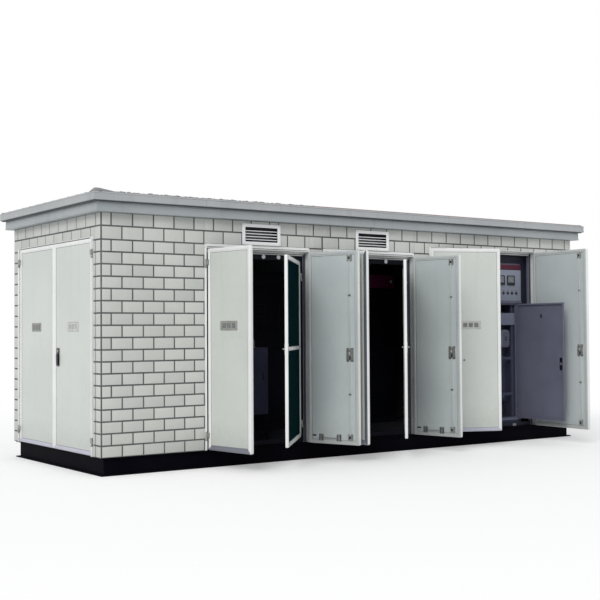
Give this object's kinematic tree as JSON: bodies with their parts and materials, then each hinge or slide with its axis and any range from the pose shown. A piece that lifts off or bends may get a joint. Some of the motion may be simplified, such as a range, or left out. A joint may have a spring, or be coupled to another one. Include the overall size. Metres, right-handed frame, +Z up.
{
  "type": "compact substation",
  "caption": "Brick-faced kiosk on a steel base with eaves bands, vents, hinged double doors, inner glazed doors and a low-voltage cabinet.",
  "frame": {"origin": "on the ground under the middle of the building, on the foot of the base's cross beam", "axes": "+X along the long side to the right as seen from the front, -Y out of the long front with the three doorways, +Z up"},
  "size_m": [7, 3.3256, 2.9036],
  "materials": {
    "brick": "light grey brick panels with dark joints",
    "band": "blue-grey painted sheet",
    "roof_metal": "grey ribbed sheet",
    "steel_base": "near-black paint on steel",
    "floor_plate": "dark grey plate",
    "white_frame": "white coated aluminium",
    "door_panel": "pale grey-green panel in a white frame",
    "lock_metal": "zinc-grey lock parts, black handle",
    "dark_glass": "dark green glazing",
    "cabinet_grey": "mid grey powder coat",
    "breaker_shell": "light grey moulded shell",
    "ceiling_board": "pale board"
  },
  "bodies": {
    "building": {"base_beam": "steel_base", "base_cross_beam": "steel_base", "floor": "floor_plate", "ceiling": "ceiling_board", "eaves_band_lower": "band", "eaves_band_upper": "band", "roof_sheet": "roof_metal", "front_pier_left": "brick", "front_pier_1_2": "brick", "front_pier_2_3": "brick", "front_pier_right": "brick", "back_wall": "brick", "right_wall": "brick", "end_pier_front": "brick", "end_pier_back": "brick", "end_lintel": "brick", "lintel_1": "brick", "lintel_2": "brick", "lintel_3": "brick", "vent_1": "white_frame", "vent_2": "white_frame", "doorway_1_frame": "white_frame", "doorway_2_frame": "white_frame", "doorway_3_frame": "white_frame", "end_doorway_frame": "white_frame", "doorway_1_inner_frame": "white_frame", "doorway_2_inner_frame": "white_frame", "cabinet_plinth": "cabinet_grey", "low_voltage_cabinet": "cabinet_grey", "mounting_plate": "cabinet_grey", "breaker": "breaker_shell", "tall_cabinet_1": "cabinet_grey", "tall_cabinet_2": "cabinet_grey", "metering_box": "cabinet_grey", "bushing": "breaker_shell"},
    "doorway_1_left_leaf_body": {"doorway_1_left_leaf": "door_panel"},
    "doorway_1_right_leaf_body": {"doorway_1_right_leaf": "door_panel", "doorway_1_lock_set": "lock_metal"},
    "doorway_2_left_leaf_body": {"doorway_2_left_leaf": "door_panel"},
    "doorway_2_right_leaf_body": {"doorway_2_right_leaf": "door_panel", "doorway_2_lock_set": "lock_metal"},
    "doorway_3_left_leaf_body": {"doorway_3_left_leaf": "door_panel"},
    "doorway_3_right_leaf_body": {"doorway_3_right_leaf": "door_panel", "doorway_3_lock_set": "lock_metal"},
    "end_doorway_left_leaf_body": {"end_doorway_left_leaf": "door_panel"},
    "end_doorway_right_leaf_body": {"end_doorway_right_leaf": "door_panel", "end_doorway_lock_set": "lock_metal"},
    "doorway_1_inner_leaf_body": {"doorway_1_inner_leaf": "white_frame", "doorway_1_inner_glass": "dark_glass"},
    "doorway_2_inner_leaf_body": {"doorway_2_inner_leaf": "white_frame", "doorway_2_inner_glass": "dark_glass"},
    "cabinet_door_body": {"cabinet_door": "cabinet_grey"}
  },
  "joints": [
    {"name": "doorway_1_left_hinge", "type": "hinge", "parent": "building", "child": "doorway_1_left_leaf_body", "pos_m": [-2.197, -1.159, 1.18], "axis": [0, 0, -1], "range_deg": [-80.5, 5.5]},
    {"name": "doorway_1_right_hinge", "type": "hinge", "parent": "building", "child": "doorway_1_right_leaf_body", "pos_m": [-0.873, -1.159, 1.18], "axis": [0, 0, 1], "range_deg": [-109.5, 1]},
    {"name": "doorway_2_left_hinge", "type": "hinge", "parent": "building", "child": "doorway_2_left_leaf_body", "pos_m": [-0.677, -1.159, 1.18], "axis": [0, 0, -1], "range_deg": [-85.5, 1]},
    {"name": "doorway_2_right_hinge", "type": "hinge", "parent": "building", "child": "doorway_2_right_leaf_body", "pos_m": [0.647, -1.159, 1.18], "axis": [0, 0, 1], "range_deg": [-103, 7]},
    {"name": "doorway_3_left_hinge", "type": "hinge", "parent": "building", "child": "doorway_3_left_leaf_body", "pos_m": [0.893, -1.159, 1.18], "axis": [0, 0, -1], "range_deg": [-22, 68]},
    {"name": "doorway_3_right_hinge", "type": "hinge", "parent": "building", "child": "doorway_3_right_leaf_body", "pos_m": [2.697, -1.159, 1.18], "axis": [0, 0, 1], "range_deg": [-88, 22]},
    {"name": "end_doorway_left_hinge", "type": "hinge", "parent": "building", "child": "end_doorway_left_leaf_body", "pos_m": [-3.389, 0.969, 1.18], "axis": [0, 0, -1], "range_deg": [0, 110]},
    {"name": "end_doorway_right_hinge", "type": "hinge", "parent": "building", "child": "end_doorway_right_leaf_body", "pos_m": [-3.389, -0.969, 1.18], "axis": [0, 0, 1], "range_deg": [0, 110]},
    {"name": "doorway_1_inner_hinge", "type": "hinge", "parent": "building", "child": "doorway_1_inner_leaf_body", "pos_m": [-0.9313, -1.069, 1.18], "axis": [0, 0, 1], "range_deg": [-48.6, 0.49]},
    {"name": "doorway_2_inner_hinge", "type": "hinge", "parent": "building", "child": "doorway_2_inner_leaf_body", "pos_m": [0.5887, -1.069, 1.18], "axis": [0, 0, 1], "range_deg": [-50, 3.45]},
    {"name": "cabinet_door_hinge", "type": "hinge", "parent": "building", "child": "cabinet_door_body", "pos_m": [2.501, -1.024, 0.98], "axis": [0, 0, 1], "range_deg": [-89.01, 22.3]}
  ],
  "couplings": [
    {"joint": "doorway_1_inner_hinge", "follows": "doorway_1_right_hinge", "ratio": 0.44384},
    {"joint": "doorway_2_inner_hinge", "follows": "doorway_2_right_hinge", "ratio": 0.48544},
    {"joint": "cabinet_door_hinge", "follows": "doorway_3_right_hinge", "ratio": 1.0114}
  ]
}
